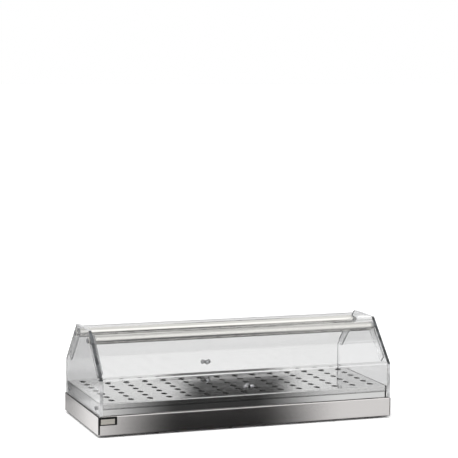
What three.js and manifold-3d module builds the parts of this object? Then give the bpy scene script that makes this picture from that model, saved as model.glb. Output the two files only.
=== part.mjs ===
// A counter-top display case: a closed stainless base, a perforated tray that lifts out,
// two clear side panels tied together by two tubes, and a clear flap hinged about each tube.
// Lengths are millimetres. +Z is up and the front faces -Y. The origin is on the counter,
// under the middle of the case.

import * as THREE from 'three';
import { mergeVertices } from 'three/addons/utils/BufferGeometryUtils.js';
import Module from 'manifold-3d';

const wasm = await Module();
wasm.setup();

// Gaps: between pieces that touch, around a shaft that turns, and how far a cut runs past a face
const seat_gap = 0.3;
const running_gap = 0.3;
const overrun = 2;
const weld_distance = 1e-4;

// Half the steps along each rounded stretch of a drawing, and the steps of a full turn
const bend_steps = 3;
const fold_steps = 2;
const cheek_steps = 10;
const tube_steps = 28;
const turned_steps = 14;
const foot_steps = 10;
const hole_steps = 12;

// Sheet steel base, closed from below by a shallow pan
const base_width = 850;
const base_depth = 350;
const base_height = 52;
const base_wall = 1.2;
const base_fold_radius = 2.5;
const pan_edge_height = 14;

// Rubber feet, pushed through holes in the pan: three pairs along the front and three at the rear
const foot_height = 5;
const foot_radius = 8;
const foot_toe_radius = 6.5;
const foot_setback = 12;
const foot_stem_radius = 3.2;
const foot_barb_radius = 4.6;
const foot_barb_height = 3;
const foot_pair_spacing = 99;
const foot_end_margin = 67.5;
const foot_pair_places = [ - 0.5, 0.5 ];
const foot_group_places = [ - 1, 0, 1 ];

// Clear side panels, standing on the deck of the base
const panel_thickness = 8;
const panel_inset = 3.6;
const panel_height = 213;
const panel_upright_height = 95;
const panel_top_depth = 122;
const panel_bend_radius = 10;
const panel_corner_radius = 7;
const panel_edge_break = 0.6;

// Perforated tray: a folded sheet with a skirt at the front and at the rear
const tray_height = 34;
const tray_setback = 6.5;
const tray_wall = 1;
const tray_fold_radius = 2.5;
const tray_end_gap = 0.8;
const tray_skirt_gap = 1;
const tray_hole_radius = 6.8;
const tray_hole_pitch_x = 54;
const tray_hole_pitch_y = 44;
const tray_hole_margin = 25;

// Upstands: folded channels under the ends of the tray, which the panels are screwed to
const upstand_wall = 1.2;
const upstand_foot_flange = 24;
const upstand_top_flange = 18;
const upstand_end_gap = 1.5;

// Dome-headed screws through the panels, into nuts welded inside the upstands
const panel_screw_margin = 39;
const panel_screw_height = 16;
const panel_screw_radius = 2.5;
const panel_screw_head_radius = 5.5;
const panel_screw_head_height = 3.5;
const panel_screw_tail = 1.5;
const weld_nut_width = 8;
const weld_nut_thickness = 4;

// Tubes between the panels, each one the axis of a flap
const tube_radius = 12.5;
const tube_wall = 1.5;
const tube_drop = 27;

// Turned spigots in the ends of the tubes: a plug, a shoulder and the journal the flap turns on
const spigot_plug_length = 20;
const spigot_shoulder_thickness = 1.2;
const spigot_journal_radius = 6;
const spigot_journal_length = 6.8;
const spigot_bore_depth = 22;

// Cap screws through the panels into the spigots, each on a thin washer
const cap_screw_radius = 3;
const cap_screw_length = 26;
const cap_head_radius = 7.5;
const cap_head_height = 5;
const cap_socket_width = 4;
const cap_socket_depth = 2.4;
const washer_radius = 8.5;
const washer_thickness = 1;

// Flaps: a bent clear sheet with a cheek at each end
const flap_thickness = 3;
const flap_side_gap = 1;
const flap_tube_gap = 0.4;
const flap_top_setback = 10;
const flap_foot_gap = 18;
const cheek_thickness = 4;
const cheek_length = 115;
const cheek_side_gap = 2;

// Chrome pulls: a waisted bar on a short post, held by a screw through the flap's lip.
// The front one sits a little to the left of the middle.
const pull_height = 60;
const pull_length = 31;
const front_pull_offset = 8;
const pull_end_radius = 6.5;
const pull_waist_radius = 4.2;
const pull_reach = 20;
const pull_post_radius = 4;
const pull_flange_radius = 6.5;
const pull_flange_thickness = 1.8;
const pull_screw_radius = 2;
const pull_screw_depth = 8;
const pull_screw_head_radius = 3.8;
const pull_screw_head_height = 2;

// Blank name plate: a black frame round a plain silver insert
const plate_width = 50;
const plate_height = 22.5;
const plate_thickness = 2.4;
const plate_insert_thickness = 1.5;
const plate_border = 4.5;
const plate_bottom_border = 2;
const plate_corner_radius = 2;
const plate_side_margin = 0.6;
const plate_top_margin = 0.8;

// Places that follow from the sizes above
const deck_z = foot_height + base_height;
const panel_outer_x = base_width / 2 - panel_inset;
const panel_inner_x = panel_outer_x - panel_thickness;
const panel_top_z = deck_z + panel_height;
const face_y = base_depth / 2;
const bend_z = deck_z + panel_upright_height;
const lean = Math.atan2( face_y - panel_top_depth / 2, panel_top_z - bend_z );
const bend_centre_y = face_y - panel_bend_radius;
const bend_centre_z = bend_z - panel_bend_radius * Math.tan( lean / 2 );
const pivot_z = panel_top_z - tube_drop;
const pivot_to_face = tube_radius + flap_tube_gap + flap_thickness;
const pivot_y = face_y - ( pivot_to_face + ( pivot_z - bend_z ) * Math.sin( lean ) ) / Math.cos( lean );
const journal_tip_x = panel_inner_x - seat_gap;
const shoulder_x = journal_tip_x - spigot_journal_length;
const tube_end_x = shoulder_x - spigot_shoulder_thickness - seat_gap;
const flap_half_width = panel_inner_x - flap_side_gap;
const cheek_outer_x = panel_inner_x - cheek_side_gap;
const tray_top_z = deck_z + tray_height;
const tray_half_depth = face_y - tray_setback;
const upstand_outer_x = panel_inner_x - seat_gap;
const panel_screw_z = deck_z + panel_screw_height;
const pull_z = deck_z + pull_height;

// Colour, roughness and metalness of each finish
const finishes = {
	satin_steel: { color: 0xc9c9c6, roughness: 0.3, metalness: 1 },
	polished_steel: { color: 0xd6d5d0, roughness: 0.14, metalness: 1 },
	clear_acrylic: { color: 0xf0f3f5, roughness: 0.04, metalness: 0, transparent: true, opacity: 0.3 },
	chrome: { color: 0xe6e6e6, roughness: 0.06, metalness: 1 },
	zinc_steel: { color: 0xb4b6b8, roughness: 0.35, metalness: 1 },
	black_rubber: { color: 0x1c1c1c, roughness: 0.85, metalness: 0 },
	white_nylon: { color: 0xe8e6de, roughness: 0.5, metalness: 0 },
	black_plastic: { color: 0x171719, roughness: 0.35, metalness: 0 },
	satin_silver: { color: 0xcdced0, roughness: 0.35, metalness: 1 },
};

// One named piece of the case
function piece( name, geometry, finish ) {

	const mesh = new THREE.Mesh( geometry, new THREE.MeshStandardMaterial( finishes[ finish ] ) );
	mesh.name = name;
	return mesh;

}

// Joins the shared vertices of a closed geometry and drops the triangles that this closes up
function welded( geometry ) {

	const bare = geometry.clone();
	bare.deleteAttribute( 'normal' );
	bare.deleteAttribute( 'uv' );
	const merged = mergeVertices( bare, weld_distance );
	const corners = merged.index.array;
	const kept = [];
	for ( let i = 0; i < corners.length; i += 3 ) {

		const [ a, b, c ] = corners.slice( i, i + 3 );
		if ( a !== b && b !== c && c !== a ) kept.push( a, b, c );

	}

	merged.setIndex( kept );
	return merged;

}

function toSolid( geometry ) {

	const shell = welded( geometry );
	const mesh = new wasm.Mesh( {
		numProp: 3,
		vertProperties: shell.getAttribute( 'position' ).array,
		triVerts: Uint32Array.from( shell.index.array ),
	} );
	return new wasm.Manifold( mesh );

}

function toGeometry( solid ) {

	const mesh = solid.getMesh();
	const geometry = new THREE.BufferGeometry();
	geometry.setAttribute( 'position', new THREE.BufferAttribute( mesh.vertProperties, 3 ) );
	geometry.setIndex( new THREE.BufferAttribute( mesh.triVerts, 1 ) );
	return geometry;

}

function cut( geometry, tools ) {

	const result = tools.reduce( ( solid, tool ) => solid.subtract( toSolid( tool ) ), toSolid( geometry ) );
	return toGeometry( result );

}

function join( geometries ) {

	const solids = geometries.map( toSolid );
	return toGeometry( solids.reduce( ( whole, solid ) => whole.add( solid ) ) );

}

function common( geometries ) {

	const solids = geometries.map( toSolid );
	return toGeometry( solids.reduce( ( whole, solid ) => whole.intersect( solid ) ) );

}

// Three ways to give a flat drawing its thickness. Upright across the case, drawn x runs to the
// rear and drawn y up. Facing the front, drawn x runs to the right and drawn y up. Lying flat,
// drawn x runs to the right and drawn y to the rear.
const x_axis = new THREE.Vector3( 1, 0, 0 );
const y_axis = new THREE.Vector3( 0, 1, 0 );
const z_axis = new THREE.Vector3( 0, 0, 1 );
const upright_frame = new THREE.Matrix4().makeBasis( y_axis, z_axis, x_axis );
const facing_frame = new THREE.Matrix4().makeBasis( x_axis, z_axis, y_axis.clone().negate() );

function upright( shape, left_x, right_x, steps = bend_steps, edge_break = 0 ) {

	const geometry = new THREE.ExtrudeGeometry( shape, {
		depth: right_x - left_x - 2 * edge_break,
		curveSegments: steps,
		bevelEnabled: edge_break > 0,
		bevelSize: edge_break,
		bevelThickness: edge_break,
		bevelOffset: - edge_break,
		bevelSegments: 1,
	} );
	return geometry.applyMatrix4( upright_frame ).translate( left_x + edge_break, 0, 0 );

}

function facing( shape, front_y, rear_y, steps = fold_steps ) {

	const options = { depth: rear_y - front_y, curveSegments: steps, bevelEnabled: false };
	return new THREE.ExtrudeGeometry( shape, options ).applyMatrix4( facing_frame ).translate( 0, rear_y, 0 );

}

function flat( shape, bottom_z, top_z, steps = fold_steps ) {

	const options = { depth: top_z - bottom_z, curveSegments: steps, bevelEnabled: false };
	return new THREE.ExtrudeGeometry( shape, options ).translate( 0, 0, bottom_z );

}

// A turned piece about the Z axis, from points of radius and height
function turned( profile, steps = turned_steps ) {

	const points = profile.map( ( [ radius, height ] ) => new THREE.Vector2( radius, height ) );
	return new THREE.LatheGeometry( points, steps ).rotateX( Math.PI / 2 );

}

// The same, pointing out of the case through a side panel: side is 1 at the right, -1 at the left
function turnedOutward( profile, side, y, z, steps = turned_steps ) {

	return turned( profile, steps ).rotateY( side * Math.PI / 2 ).translate( 0, y, z );

}

// The same, pointing to the rear
function turnedRearward( profile, x, z, steps = turned_steps ) {

	return turned( profile, steps ).rotateX( - Math.PI / 2 ).translate( x, 0, z );

}

// The points of a dome, a quarter of an ellipse from its rim up to its pole
function domePoints( radius, rim_height, height, count ) {

	return Array.from( { length: count + 1 }, ( _, i ) => {

		const angle = i / count * Math.PI / 2;
		return [ i === count ? 0 : radius * Math.cos( angle ), rim_height + height * Math.sin( angle ) ];

	} );

}

function roundedRectangle( width, height, radius, centre_x = 0, centre_y = 0 ) {

	const shape = new THREE.Shape();
	const x = width / 2 - radius;
	const y = height / 2 - radius;
	shape.absarc( centre_x + x, centre_y + y, radius, 0, Math.PI / 2 );
	shape.absarc( centre_x - x, centre_y + y, radius, Math.PI / 2, Math.PI );
	shape.absarc( centre_x - x, centre_y - y, radius, Math.PI, 1.5 * Math.PI );
	shape.absarc( centre_x + x, centre_y - y, radius, 1.5 * Math.PI, 2 * Math.PI );
	shape.closePath();
	return shape;

}

function rectangle( left, bottom, right, top ) {

	const corners = [ [ left, bottom ], [ right, bottom ], [ right, top ], [ left, top ] ];
	return new THREE.Shape( corners.map( ( [ x, y ] ) => new THREE.Vector2( x, y ) ) );

}

// An outline that is open below and rounded at its two top corners
function archedRectangle( half_width, bottom, top, radius ) {

	const shape = new THREE.Shape();
	shape.moveTo( - half_width, bottom );
	shape.lineTo( half_width, bottom );
	shape.absarc( half_width - radius, top - radius, radius, 0, Math.PI / 2 );
	shape.absarc( radius - half_width, top - radius, radius, Math.PI / 2, Math.PI );
	shape.closePath();
	return shape;

}

// Base: a box of folded sheet, open below

// A block with all its upper edges and upright corners rounded
function foldedBlock( width, depth, bottom_z, top_z, radius ) {

	const side_view = archedRectangle( depth / 2, bottom_z, top_z, radius );
	const front_view = archedRectangle( width / 2, bottom_z, top_z, radius );
	const plan = roundedRectangle( width, depth, radius );
	return common( [
		upright( side_view, - width / 2, width / 2, fold_steps ),
		facing( front_view, - depth / 2, depth / 2 ),
		flat( plan, bottom_z, top_z ),
	] );

}

function baseShell() {

	const outer = foldedBlock( base_width, base_depth, foot_height, deck_z, base_fold_radius );
	const inner = foldedBlock(
		base_width - 2 * base_wall,
		base_depth - 2 * base_wall,
		foot_height - overrun,
		deck_z - base_wall,
		base_fold_radius - base_wall,
	);
	return piece( 'base_shell', cut( outer, [ inner ] ), 'satin_steel' );

}

// Centres of the feet, in pairs along both long edges
function footPlaces() {

	const row_y = base_depth / 2 - foot_setback - foot_radius;
	const group_spacing = base_width / 2 - foot_end_margin - foot_pair_spacing / 2;
	const places = [];
	for ( const [ row, y ] of [ [ 'front', - row_y ], [ 'rear', row_y ] ] ) {

		let number = 0;
		for ( const group of foot_group_places ) {

			for ( const place of foot_pair_places ) {

				number += 1;
				const x = group * group_spacing + place * foot_pair_spacing;
				places.push( { name: `foot_${ row }_${ number }`, x, y } );

			}

		}

	}

	return places;

}

function basePan() {

	const width = base_width - 2 * ( base_wall + seat_gap );
	const depth = base_depth - 2 * ( base_wall + seat_gap );
	const corner = base_fold_radius - base_wall;
	const outer = flat( roundedRectangle( width, depth, corner ), foot_height, foot_height + pan_edge_height );
	const hollow = flat(
		rectangle( base_wall - width / 2, base_wall - depth / 2, width / 2 - base_wall, depth / 2 - base_wall ),
		foot_height + base_wall,
		foot_height + pan_edge_height + overrun,
	);
	const radius = foot_stem_radius + seat_gap;
	const holes = footPlaces().map( ( { x, y } ) => {

		const drill = new THREE.CylinderGeometry( radius, radius, 2 * ( base_wall + overrun ), hole_steps );
		return drill.rotateX( Math.PI / 2 ).translate( x, y, foot_height );

	} );
	return piece( 'base_pan', cut( outer, [ hollow, ...holes ] ), 'satin_steel' );

}

// A tapered rubber pad with a barbed stem that snaps through the pan
function feet() {

	const pad_top = foot_height - seat_gap;
	const barb_bottom = foot_height + base_wall + seat_gap;
	const profile = [
		[ 0, 0 ],
		[ foot_toe_radius, 0 ],
		[ foot_radius, pad_top ],
		[ foot_stem_radius, pad_top ],
		[ foot_stem_radius, barb_bottom ],
		[ foot_barb_radius, barb_bottom ],
		[ foot_stem_radius, barb_bottom + foot_barb_height ],
		[ 0, barb_bottom + foot_barb_height ],
	];
	return footPlaces().map( ( { name, x, y } ) => {

		const foot = piece( name, turned( profile, foot_steps ), 'black_rubber' );
		foot.position.set( x, y, 0 );
		return foot;

	} );

}

// Perforated tray, and the upstands that it rests on

function perforatedTray() {

	const half_depth = tray_half_depth;
	const half_length = panel_inner_x - tray_end_gap;
	const skirt_z = deck_z + tray_skirt_gap;
	const fold_y = half_depth - tray_fold_radius;
	const fold_z = tray_top_z - tray_fold_radius;
	const inner_radius = tray_fold_radius - tray_wall;
	const sheet = new THREE.Shape();
	sheet.moveTo( half_depth, skirt_z );
	sheet.absarc( fold_y, fold_z, tray_fold_radius, 0, Math.PI / 2 );
	sheet.absarc( - fold_y, fold_z, tray_fold_radius, Math.PI / 2, Math.PI );
	sheet.lineTo( - half_depth, skirt_z );
	sheet.lineTo( tray_wall - half_depth, skirt_z );
	sheet.absarc( - fold_y, fold_z, inner_radius, Math.PI, Math.PI / 2, true );
	sheet.absarc( fold_y, fold_z, inner_radius, Math.PI / 2, 0, true );
	sheet.lineTo( half_depth - tray_wall, skirt_z );
	sheet.closePath();

	const gaps_x = Math.floor( 2 * ( half_length - tray_hole_margin ) / tray_hole_pitch_x );
	const gaps_y = Math.floor( 2 * ( half_depth - tray_hole_margin ) / tray_hole_pitch_y );
	const punches = [];
	for ( let column = 0; column <= gaps_x; column ++ ) {

		for ( let row = 0; row <= gaps_y; row ++ ) {

			const x = ( column - gaps_x / 2 ) * tray_hole_pitch_x;
			const y = ( row - gaps_y / 2 ) * tray_hole_pitch_y;
			const length = 2 * ( tray_wall + overrun );
			const punch = new THREE.CylinderGeometry( tray_hole_radius, tray_hole_radius, length, hole_steps );
			punches.push( punch.rotateX( Math.PI / 2 ).translate( x, y, tray_top_z ) );

		}

	}

	const folded = upright( sheet, - half_length, half_length, fold_steps );
	return piece( 'perforated_tray', cut( folded, punches ), 'satin_steel' );

}

// Where the panel screws are, along the depth
function panelScrewPlaces() {

	const y = face_y - panel_screw_margin;
	return [ [ 'front', - y ], [ 'rear', y ] ];

}

// A channel open towards the middle of the case
function upstand( side_name, side ) {

	const bottom = deck_z + seat_gap;
	const top = tray_top_z - tray_wall - seat_gap;
	const outer = upstand_outer_x;
	const half_length = tray_half_depth - tray_wall - upstand_end_gap;
	const section = new THREE.Shape();
	section.moveTo( outer, bottom );
	section.lineTo( outer, top );
	section.lineTo( outer - upstand_top_flange, top );
	section.lineTo( outer - upstand_top_flange, top - upstand_wall );
	section.lineTo( outer - upstand_wall, top - upstand_wall );
	section.lineTo( outer - upstand_wall, bottom + upstand_wall );
	section.lineTo( outer - upstand_foot_flange, bottom + upstand_wall );
	section.lineTo( outer - upstand_foot_flange, bottom );
	section.closePath();
	const radius = panel_screw_radius + seat_gap;
	const holes = panelScrewPlaces().map( ( [ , y ] ) => {

		const drill = new THREE.CylinderGeometry( radius, radius, 2 * ( upstand_wall + overrun ), hole_steps );
		return drill.rotateZ( Math.PI / 2 ).translate( outer, y, panel_screw_z );

	} );
	const geometry = cut( facing( section, - half_length, half_length ), holes );
	const channel = piece( `upstand_${ side_name }`, geometry, 'satin_steel' );
	channel.rotation.z = side > 0 ? 0 : Math.PI;
	return channel;

}

// Side panels and what holds them

function sidePanel( side_name, side ) {

	const turn = Math.PI / 2 - lean;
	const corner_y = panel_top_depth / 2 - panel_corner_radius * Math.tan( turn / 2 );
	const corner_z = panel_top_z - panel_corner_radius;
	const bottom = deck_z + seat_gap;
	const outline = new THREE.Shape();
	outline.moveTo( - face_y, bottom );
	outline.lineTo( face_y, bottom );
	outline.absarc( bend_centre_y, bend_centre_z, panel_bend_radius, 0, lean );
	outline.absarc( corner_y, corner_z, panel_corner_radius, lean, Math.PI / 2 );
	outline.absarc( - corner_y, corner_z, panel_corner_radius, Math.PI / 2, Math.PI - lean );
	outline.absarc( - bend_centre_y, bend_centre_z, panel_bend_radius, Math.PI - lean, Math.PI );
	outline.closePath();
	const places = [
		...[ - pivot_y, pivot_y ].map( ( y ) => [ y, pivot_z, cap_screw_radius + seat_gap ] ),
		...panelScrewPlaces().map( ( [ , y ] ) => [ y, panel_screw_z, panel_screw_radius + seat_gap ] ),
	];
	const middle_x = ( panel_inner_x + panel_outer_x ) / 2;
	const holes = places.map( ( [ y, z, radius ] ) => {

		const drill = new THREE.CylinderGeometry( radius, radius, panel_thickness + 2 * overrun, hole_steps );
		return drill.rotateZ( Math.PI / 2 ).translate( middle_x, y, z );

	} );
	const blank = upright( outline, panel_inner_x, panel_outer_x, bend_steps, panel_edge_break );
	const geometry = cut( blank, holes );
	const panel = piece( `side_panel_${ side_name }`, geometry, 'clear_acrylic' );
	panel.rotation.z = side > 0 ? 0 : Math.PI;
	return panel;

}

function panelScrew( name, side, y ) {

	const head_x = panel_outer_x + seat_gap;
	const nut_x = upstand_outer_x - upstand_wall - seat_gap - weld_nut_thickness;
	const profile = [
		[ 0, nut_x - panel_screw_tail ],
		[ panel_screw_radius, nut_x - panel_screw_tail ],
		[ panel_screw_radius, head_x ],
		...domePoints( panel_screw_head_radius, head_x, panel_screw_head_height, 4 ),
	];
	return piece( name, turnedOutward( profile, side, y, panel_screw_z ), 'chrome' );

}

// A square nut with its hole, lying against the inside of an upstand
function weldNut( name, side, y ) {

	const outer_x = upstand_outer_x - upstand_wall - seat_gap;
	const half = weld_nut_width / 2;
	const block = upright( rectangle( - half, - half, half, half ), outer_x - weld_nut_thickness, outer_x );
	const radius = panel_screw_radius + seat_gap;
	const length = 2 * ( weld_nut_thickness + overrun );
	const drill = new THREE.CylinderGeometry( radius, radius, length, hole_steps );
	drill.rotateZ( Math.PI / 2 ).translate( outer_x, 0, 0 );
	const geometry = cut( block, [ drill ] ).translate( 0, side * y, panel_screw_z );
	const nut = piece( name, geometry, 'zinc_steel' );
	nut.rotation.z = side > 0 ? 0 : Math.PI;
	return nut;

}

// Tubes, with a spigot, a cap screw and a washer at each end

function tube( name, y ) {

	const bore = tube_radius - tube_wall;
	const profile = [
		[ bore, - tube_end_x ],
		[ tube_radius, - tube_end_x ],
		[ tube_radius, tube_end_x ],
		[ bore, tube_end_x ],
		[ bore, - tube_end_x ],
	];
	return piece( name, turnedOutward( profile, 1, y, pivot_z, tube_steps ), 'polished_steel' );

}

function spigot( name, side, y ) {

	const plug_radius = tube_radius - tube_wall - seat_gap;
	const shoulder_inner_x = shoulder_x - spigot_shoulder_thickness;
	const plug_tip_x = shoulder_inner_x - spigot_plug_length;
	const bore = cap_screw_radius + seat_gap;
	const bore_end_x = journal_tip_x - spigot_bore_depth;
	const profile = [
		[ 0, plug_tip_x ],
		[ plug_radius, plug_tip_x ],
		[ plug_radius, shoulder_inner_x ],
		[ tube_radius, shoulder_inner_x ],
		[ tube_radius, shoulder_x ],
		[ spigot_journal_radius, shoulder_x ],
		[ spigot_journal_radius, journal_tip_x ],
		[ bore, journal_tip_x ],
		[ bore, bore_end_x ],
		[ 0, bore_end_x ],
	];
	return piece( name, turnedOutward( profile, side, y, pivot_z ), 'satin_steel' );

}

function capWasher( name, side, y ) {

	const inner_x = panel_outer_x + seat_gap;
	const bore = cap_screw_radius + seat_gap;
	const profile = [
		[ bore, inner_x ],
		[ washer_radius, inner_x ],
		[ washer_radius, inner_x + washer_thickness ],
		[ bore, inner_x + washer_thickness ],
		[ bore, inner_x ],
	];
	return piece( name, turnedOutward( profile, side, y, pivot_z ), 'white_nylon' );

}

// A domed screw with a six-sided socket in its head
function capScrew( name, side, y ) {

	const head_x = panel_outer_x + seat_gap + washer_thickness + seat_gap;
	const profile = [
		[ 0, head_x - cap_screw_length ],
		[ cap_screw_radius, head_x - cap_screw_length ],
		[ cap_screw_radius, head_x ],
		...domePoints( cap_head_radius, head_x, cap_head_height, 5 ),
	];
	const socket_radius = cap_socket_width / 2 / Math.cos( Math.PI / 6 );
	const crown_x = head_x + cap_head_height;
	const socket = new THREE.CylinderGeometry( socket_radius, socket_radius, 2 * cap_socket_depth, 6 );
	socket.rotateZ( Math.PI / 2 ).translate( side * crown_x, y, pivot_z );
	return piece( name, cut( turnedOutward( profile, side, y, pivot_z ), [ socket ] ), 'chrome' );

}

// Flaps, drawn at the rear of the case. The front one is the same piece turned half round.

// The bent sheet: an upright lip, a bend, and a slope that runs up past the tube
function flapSheet( name, pull_x ) {

	const out_y = Math.cos( lean );
	const out_z = Math.sin( lean );
	const slope_length = ( panel_top_z - bend_z ) / Math.cos( lean ) - flap_top_setback;
	const top_y = face_y - slope_length * Math.sin( lean );
	const top_z = bend_z + slope_length * Math.cos( lean );
	const foot_z = deck_z + flap_foot_gap;
	const inner_radius = panel_bend_radius - flap_thickness;
	const outline = new THREE.Shape();
	outline.moveTo( face_y - flap_thickness, foot_z );
	outline.lineTo( face_y, foot_z );
	outline.absarc( bend_centre_y, bend_centre_z, panel_bend_radius, 0, lean );
	outline.lineTo( top_y, top_z );
	outline.lineTo( top_y - flap_thickness * out_y, top_z - flap_thickness * out_z );
	outline.absarc( bend_centre_y, bend_centre_z, inner_radius, lean, 0, true );
	outline.closePath();
	const radius = pull_screw_radius + seat_gap;
	const drill = new THREE.CylinderGeometry( radius, radius, 2 * ( flap_thickness + overrun ), hole_steps );
	drill.translate( pull_x, face_y, pull_z );
	const sheet = upright( outline, - flap_half_width, flap_half_width );
	return piece( name, cut( sheet, [ drill ] ), 'clear_acrylic' );

}

// A strip round-ended about the pivot, bonded to the inside of the slope
function cheek( name, inner_x ) {

	const half_width = tube_radius + flap_tube_gap - seat_gap;
	const down_y = cheek_length * Math.sin( lean );
	const down_z = - cheek_length * Math.cos( lean );
	const out_y = half_width * Math.cos( lean );
	const out_z = half_width * Math.sin( lean );
	const outline = new THREE.Shape();
	outline.moveTo( pivot_y + down_y + out_y, pivot_z + down_z + out_z );
	outline.absarc( pivot_y, pivot_z, half_width, lean, lean + Math.PI );
	outline.lineTo( pivot_y + down_y - out_y, pivot_z + down_z - out_z );
	outline.closePath();
	const eye = new THREE.Path();
	eye.absarc( pivot_y, pivot_z, spigot_journal_radius + running_gap, 0, 2 * Math.PI, true );
	outline.holes.push( eye );
	return piece( name, upright( outline, inner_x, inner_x + cheek_thickness, cheek_steps ), 'clear_acrylic' );

}

function pull( name, pull_x ) {

	const back_y = face_y + seat_gap;
	const bar_y = face_y + pull_reach - pull_end_radius;
	const half = pull_length / 2;
	const ball = pull_end_radius;
	const neck = pull_waist_radius;
	const waist = half - 2 * ball;
	const bar = turned( [
		[ 0, - half ],
		[ ball * Math.sin( Math.PI / 4 ), - half + ball * ( 1 - Math.cos( Math.PI / 4 ) ) ],
		[ ball, ball - half ],
		[ ( ball + neck ) / 2, - waist - ball / 4 ],
		[ neck, - waist ],
		[ neck, waist ],
		[ ( ball + neck ) / 2, waist + ball / 4 ],
		[ ball, half - ball ],
		[ ball * Math.sin( Math.PI / 4 ), half - ball * ( 1 - Math.cos( Math.PI / 4 ) ) ],
		[ 0, half ],
	] ).rotateY( Math.PI / 2 ).translate( pull_x, bar_y, pull_z );
	const post = turnedRearward( [
		[ 0, back_y ],
		[ pull_flange_radius, back_y ],
		[ pull_flange_radius, back_y + pull_flange_thickness ],
		[ pull_post_radius, back_y + 2 * pull_flange_thickness ],
		[ pull_post_radius, bar_y ],
		[ 0, bar_y ],
	], pull_x, pull_z );
	const bore = pull_screw_radius + seat_gap;
	const drill = new THREE.CylinderGeometry( bore, bore, 2 * ( pull_screw_depth + seat_gap ), hole_steps );
	drill.translate( pull_x, back_y, pull_z );
	return piece( name, cut( join( [ bar, post ] ), [ drill ] ), 'chrome' );

}

function pullScrew( name, pull_x ) {

	const head_y = face_y - flap_thickness - seat_gap;
	const tip_y = face_y + seat_gap + pull_screw_depth - seat_gap;
	const profile = [
		[ 0, head_y - pull_screw_head_height ],
		[ pull_screw_head_radius - pull_screw_head_height / 2, head_y - pull_screw_head_height ],
		[ pull_screw_head_radius, head_y - pull_screw_head_height / 2 ],
		[ pull_screw_head_radius, head_y ],
		[ pull_screw_radius, head_y ],
		[ pull_screw_radius, tip_y ],
		[ 0, tip_y ],
	];
	return piece( name, turnedRearward( profile, pull_x, pull_z, hole_steps ), 'zinc_steel' );

}

function flap( place ) {

	const group = new THREE.Group();
	const rear = place === 'rear';
	const pull_x = rear ? 0 : front_pull_offset;
	const cheek_inner_x = cheek_outer_x - cheek_thickness;
	group.add( flapSheet( `${ place }_flap`, pull_x ) );
	group.add( cheek( `${ place }_cheek_${ rear ? 'right' : 'left' }`, cheek_inner_x ) );
	group.add( cheek( `${ place }_cheek_${ rear ? 'left' : 'right' }`, - cheek_outer_x ) );
	group.add( pull( `${ place }_pull`, pull_x ) );
	group.add( pullScrew( `${ place }_pull_screw`, pull_x ) );
	group.rotation.z = rear ? 0 : Math.PI;
	return group;

}

// Blank name plate at the left end of the front
function namePlate() {

	const left = - base_width / 2 + plate_side_margin;
	const right = left + plate_width;
	const top = deck_z - plate_top_margin;
	const bottom = top - plate_height;
	const middle_x = ( left + right ) / 2;
	const middle_z = ( bottom + top ) / 2;
	const back_y = - base_depth / 2 - seat_gap;
	const outline = roundedRectangle( plate_width, plate_height, plate_corner_radius, middle_x, middle_z );
	const window_outline = rectangle(
		left + plate_border,
		bottom + plate_bottom_border,
		right - plate_border,
		top - plate_border,
	);
	const insert_outline = rectangle(
		left + plate_border + seat_gap,
		bottom + plate_bottom_border + seat_gap,
		right - plate_border - seat_gap,
		top - plate_border - seat_gap,
	);
	const slab = facing( outline, back_y - plate_thickness, back_y );
	const window_block = facing( window_outline, back_y - plate_thickness - overrun, back_y + overrun );
	const frame = cut( slab, [ window_block ] );
	const insert = facing( insert_outline, back_y - plate_insert_thickness, back_y );
	return [
		piece( 'name_plate_frame', frame, 'black_plastic' ),
		piece( 'name_plate_insert', insert, 'satin_silver' ),
	];

}

const display_case = new THREE.Group();
display_case.name = 'display_case';
display_case.add( baseShell(), basePan(), ...feet(), perforatedTray(), ...namePlate() );

for ( const [ side_name, side ] of [ [ 'left', - 1 ], [ 'right', 1 ] ] ) {

	display_case.add( upstand( side_name, side ), sidePanel( side_name, side ) );
	for ( const [ place, y ] of panelScrewPlaces() ) {

		display_case.add( panelScrew( `panel_screw_${ side_name }_${ place }`, side, y ) );
		display_case.add( weldNut( `weld_nut_${ side_name }_${ place }`, side, y ) );

	}

	for ( const [ place, y ] of [ [ 'front', - pivot_y ], [ 'rear', pivot_y ] ] ) {

		display_case.add( spigot( `tube_spigot_${ place }_${ side_name }`, side, y ) );
		display_case.add( capWasher( `cap_washer_${ place }_${ side_name }`, side, y ) );
		display_case.add( capScrew( `cap_screw_${ place }_${ side_name }`, side, y ) );

	}

}

display_case.add( tube( 'front_tube', - pivot_y ), tube( 'rear_tube', pivot_y ) );
display_case.add( flap( 'front' ), flap( 'rear' ) );

export default display_case;
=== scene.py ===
"""A counter-top display case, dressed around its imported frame.

The case is a folded stainless base on rubber feet, a perforated tray, two clear side panels
tied by two tubes, and a bent clear flap hinged about each tube. Shapes are worked out in
millimetres, z = 0 on the counter and the front facing -Y, and put into meshes in metres.
"""

import bmesh
import bpy
import numpy as np
from mathutils import Matrix, Vector, geometry


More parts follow.
